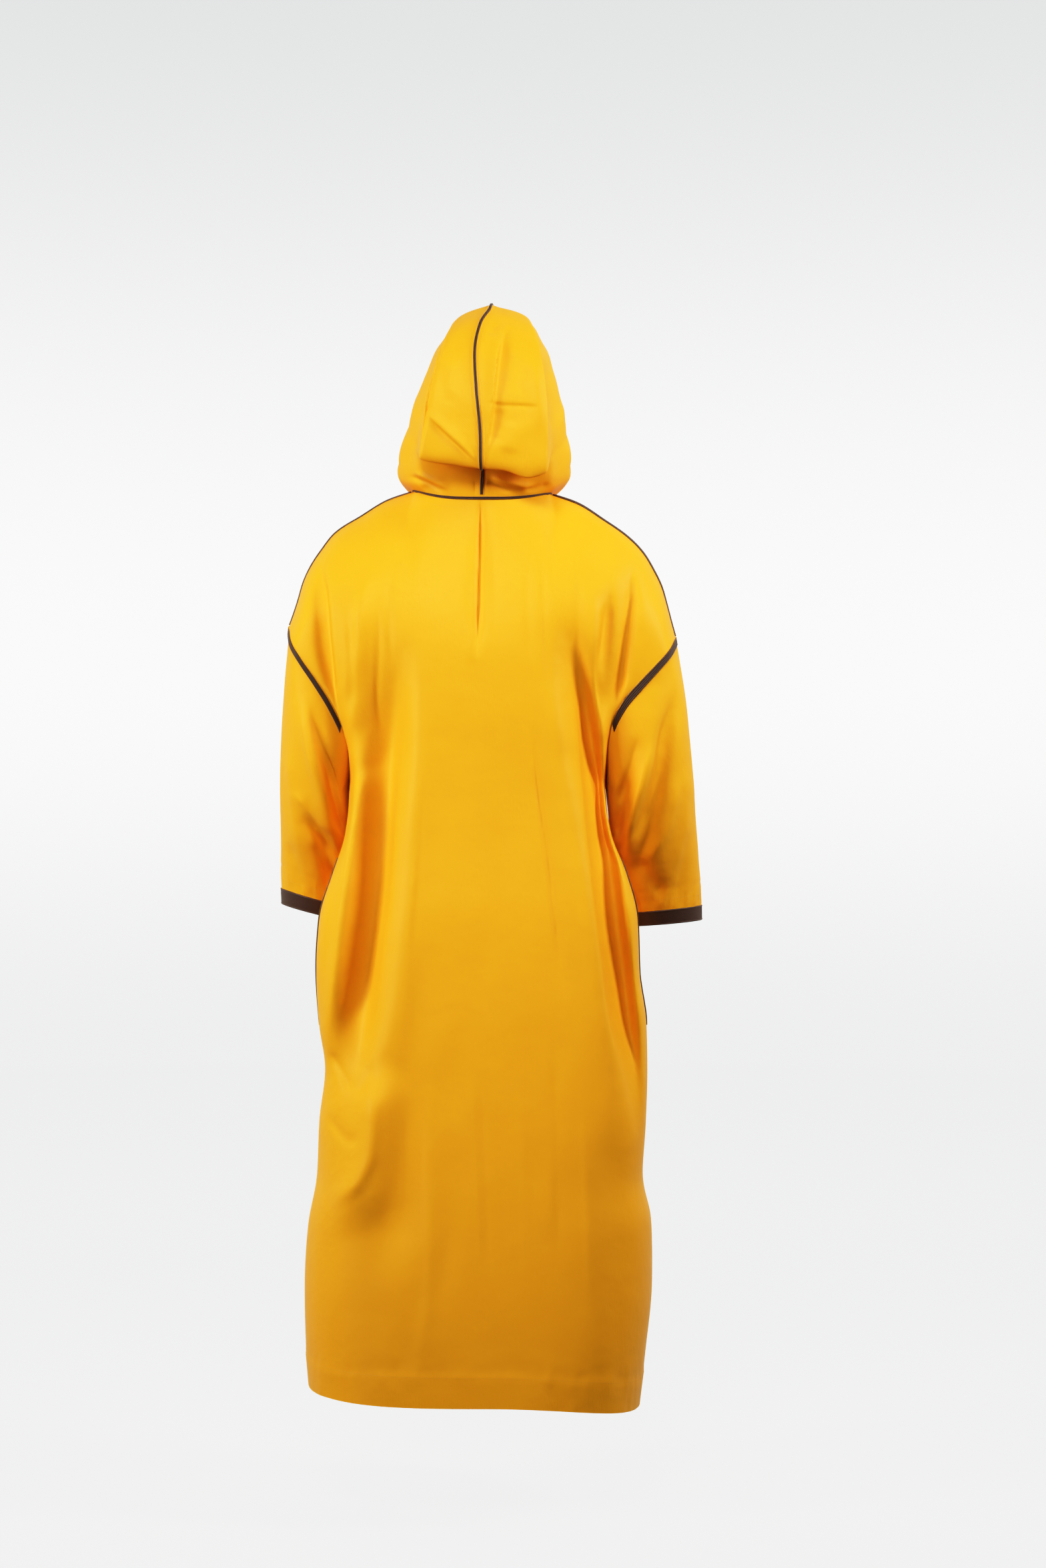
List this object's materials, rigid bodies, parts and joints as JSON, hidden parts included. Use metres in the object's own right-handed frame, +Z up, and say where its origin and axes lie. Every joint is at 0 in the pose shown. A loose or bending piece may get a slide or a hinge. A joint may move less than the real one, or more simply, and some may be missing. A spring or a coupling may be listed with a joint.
{
  "type": "djellaba robe",
  "caption": "Long loose hooded robe worn open at neck, cuffs and hem, with a folded hood peak and dark braid and piping on its seams.",
  "frame": {"origin": "on the neck's axis, level with the middle of the back neck seam, where the shoulders carry the robe", "axes": "+Z up the robe from hem to hood, +Y out of its back, +X to the wearer's left"},
  "size_m": [0.6626, 0.4, 1.6909],
  "materials": {
    "crepe": "satin-backed crepe, fine twill, soft sheen",
    "braid": "matte corded braid"
  },
  "bodies": {
    "root": {"back_panel": "crepe", "front_panel": "crepe", "sleeve_left": "crepe", "sleeve_right": "crepe", "hood_left": "crepe", "hood_right": "crepe", "neck_piping": "braid", "hood_piping": "braid", "shoulder_braid_left": "braid", "shoulder_braid_right": "braid", "armhole_braid_left": "braid", "armhole_braid_right": "braid", "cuff_braid_left": "braid", "cuff_braid_right": "braid", "pocket_piping_back_left": "braid", "pocket_piping_back_right": "braid", "pocket_piping_front_left": "braid", "pocket_piping_front_right": "braid"}
  },
  "joints": []
}
